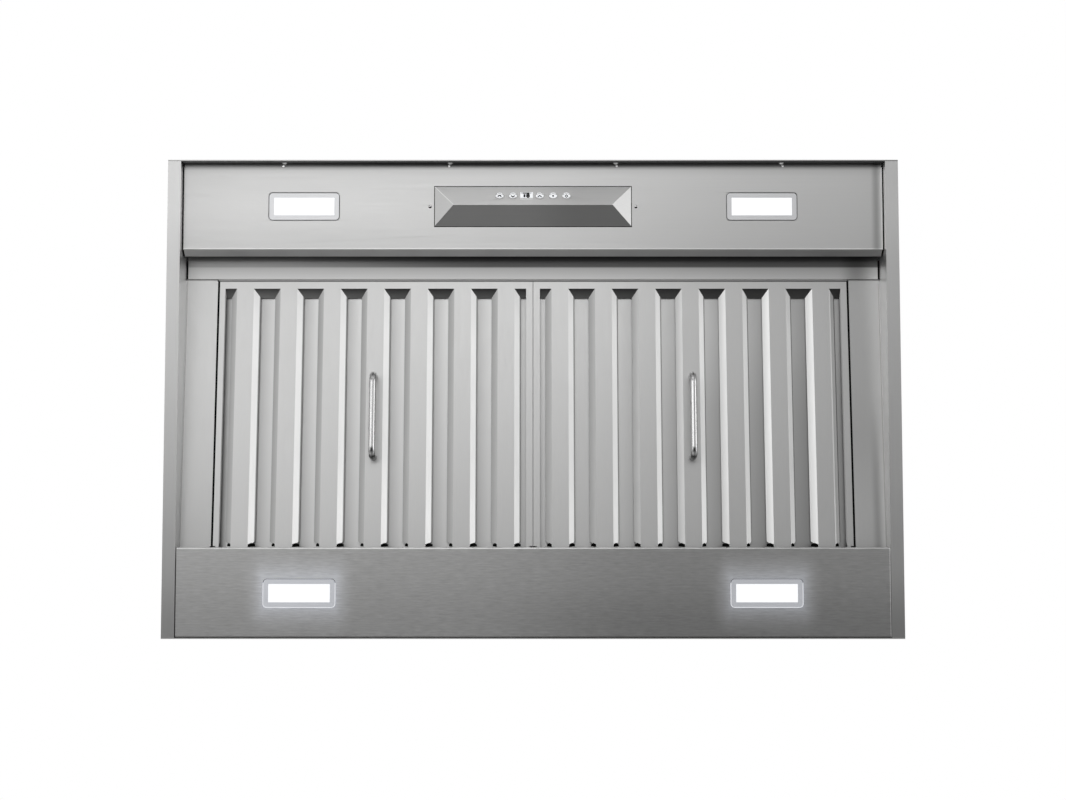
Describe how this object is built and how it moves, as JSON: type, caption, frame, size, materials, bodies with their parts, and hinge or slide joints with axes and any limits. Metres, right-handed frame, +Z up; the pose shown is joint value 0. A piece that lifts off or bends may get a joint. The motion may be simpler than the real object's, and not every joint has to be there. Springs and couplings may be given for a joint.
{
  "type": "range hood insert",
  "caption": "Built-in range hood insert with hinged baffle filters, push-button control pod, corner lamps, enclosed blower and a top duct collar with damper flaps.",
  "frame": {"origin": "centre of the rim plane, the lowest plane of the hood", "axes": "+X right as seen from the front, -Y to the front, +Z up towards the duct"},
  "size_m": [0.8572, 0.5588, 0.38],
  "materials": {
    "front_steel": "thin folded edge, satin",
    "rear_steel": "thin folded edge, satin",
    "side_steel": "satin, long grain",
    "panel_steel": "satin, grain across the hood",
    "ledge_steel": "satin, grain across the hood",
    "light_panel_steel": "satin, grain across the hood",
    "pod_steel": "satin, grain across the hood",
    "button_steel": "satin",
    "baffle_steel": "satin, long grain",
    "channel_steel": "satin, long grain",
    "handle_steel": "polished",
    "bezel_steel": "fine satin",
    "screw_steel": "polished",
    "zinc_sheet": "matt galvanised",
    "lamp_lens": "lit white diffuser",
    "display_white": "backlit window",
    "board_green": "circuit board",
    "wheel_plastic": "moulded",
    "motor_enamel": "enamel",
    "capacitor_plastic": "moulded",
    "bushing_rubber": "matt",
    "icon_ink": "printed",
    "gap_shadow": "dark seal in the gaps"
  },
  "bodies": {
    "hood": {"blower_box": "zinc_sheet", "blower_box_flange": "zinc_sheet", "cable_inlet_bushing": "bushing_rubber", "control_board": "board_green", "control_panel": "panel_steel", "control_pod": "pod_steel", "damper_spindle": "screw_steel", "display_window": "display_white", "duct_collar": "zinc_sheet", "filter_catches": "zinc_sheet", "filter_hinge_rod": "zinc_sheet", "front_ledge": "ledge_steel", "front_left_lamp_housing": "bezel_steel", "front_left_lamp_lens": "lamp_lens", "front_right_lamp_housing": "bezel_steel", "front_right_lamp_lens": "lamp_lens", "front_wall": "front_steel", "inlet_rings": "zinc_sheet", "junction_box": "zinc_sheet", "junction_box_cover": "zinc_sheet", "lamp_led_boards": "board_green", "lamp_nuts": "screw_steel", "left_scroll": "zinc_sheet", "left_side_panel": "side_steel", "motor": "motor_enamel", "motor_capacitor": "capacitor_plastic", "motor_cradle": "zinc_sheet", "panel_screws": "screw_steel", "pod_bracket": "zinc_sheet", "power_board": "board_green", "rear_filter_rail": "ledge_steel", "rear_left_lamp_housing": "bezel_steel", "rear_left_lamp_lens": "lamp_lens", "rear_light_panel": "light_panel_steel", "rear_right_lamp_housing": "bezel_steel", "rear_right_lamp_lens": "lamp_lens", "rear_wall": "rear_steel", "right_scroll": "zinc_sheet", "right_side_panel": "side_steel", "top_plate": "zinc_sheet"},
    "left_filter": {"left_filter_front_baffle": "baffle_steel", "left_filter_rear_baffle": "channel_steel", "left_filter_frame": "channel_steel", "left_filter_handle": "handle_steel", "left_handle_screws": "screw_steel"},
    "right_filter": {"right_filter_front_baffle": "baffle_steel", "right_filter_rear_baffle": "channel_steel", "right_filter_frame": "channel_steel", "right_filter_handle": "handle_steel", "right_handle_screws": "screw_steel"},
    "blower_rotor": {"motor_shaft": "handle_steel", "left_impeller": "wheel_plastic", "right_impeller": "wheel_plastic"},
    "front_flap": {"front_damper_flap": "zinc_sheet"},
    "rear_flap": {"rear_damper_flap": "zinc_sheet"},
    "power_key": {"power_button": "button_steel"},
    "slower_key": {"slower_button": "button_steel"},
    "faster_key": {"faster_button": "button_steel"},
    "light_key": {"light_button": "button_steel"},
    "timer_key": {"timer_button": "button_steel"}
  },
  "joints": [
    {"name": "left_filter_hinge", "type": "hinge", "parent": "hood", "child": "left_filter", "pos_m": [-0.1877, 0.18446, 0.02533], "axis": [1, 0, 0], "range_deg": [0, 50]},
    {"name": "right_filter_hinge", "type": "hinge", "parent": "hood", "child": "right_filter", "pos_m": [0.1877, 0.18446, 0.02533], "axis": [1, 0, 0], "range_deg": [0, 50]},
    {"name": "rotor_spin", "type": "hinge", "parent": "hood", "child": "blower_rotor", "pos_m": [0, -0.06475, 0.2], "axis": [1, 0, 0], "continuous": true},
    {"name": "front_flap_hinge", "type": "hinge", "parent": "hood", "child": "front_flap", "pos_m": [0, 0, 0.345], "axis": [-1, 0, 0], "range_deg": [0, 80]},
    {"name": "rear_flap_hinge", "type": "hinge", "parent": "hood", "child": "rear_flap", "pos_m": [0, 0, 0.345], "axis": [1, 0, 0], "range_deg": [0, 80]},
    {"name": "power_press", "type": "slide", "parent": "hood", "child": "power_key", "axis": [0, 0.4525, 0.8918], "range_m": [0, 0.0008], "stiffness_N_per_m": 400},
    {"name": "slower_press", "type": "slide", "parent": "hood", "child": "slower_key", "axis": [0, 0.4525, 0.8918], "range_m": [0, 0.0008], "stiffness_N_per_m": 400},
    {"name": "faster_press", "type": "slide", "parent": "hood", "child": "faster_key", "axis": [0, 0.4525, 0.8918], "range_m": [0, 0.0008], "stiffness_N_per_m": 400},
    {"name": "light_press", "type": "slide", "parent": "hood", "child": "light_key", "axis": [0, 0.4525, 0.8918], "range_m": [0, 0.0008], "stiffness_N_per_m": 400},
    {"name": "timer_press", "type": "slide", "parent": "hood", "child": "timer_key", "axis": [0, 0.4525, 0.8918], "range_m": [0, 0.0008], "stiffness_N_per_m": 400}
  ]
}
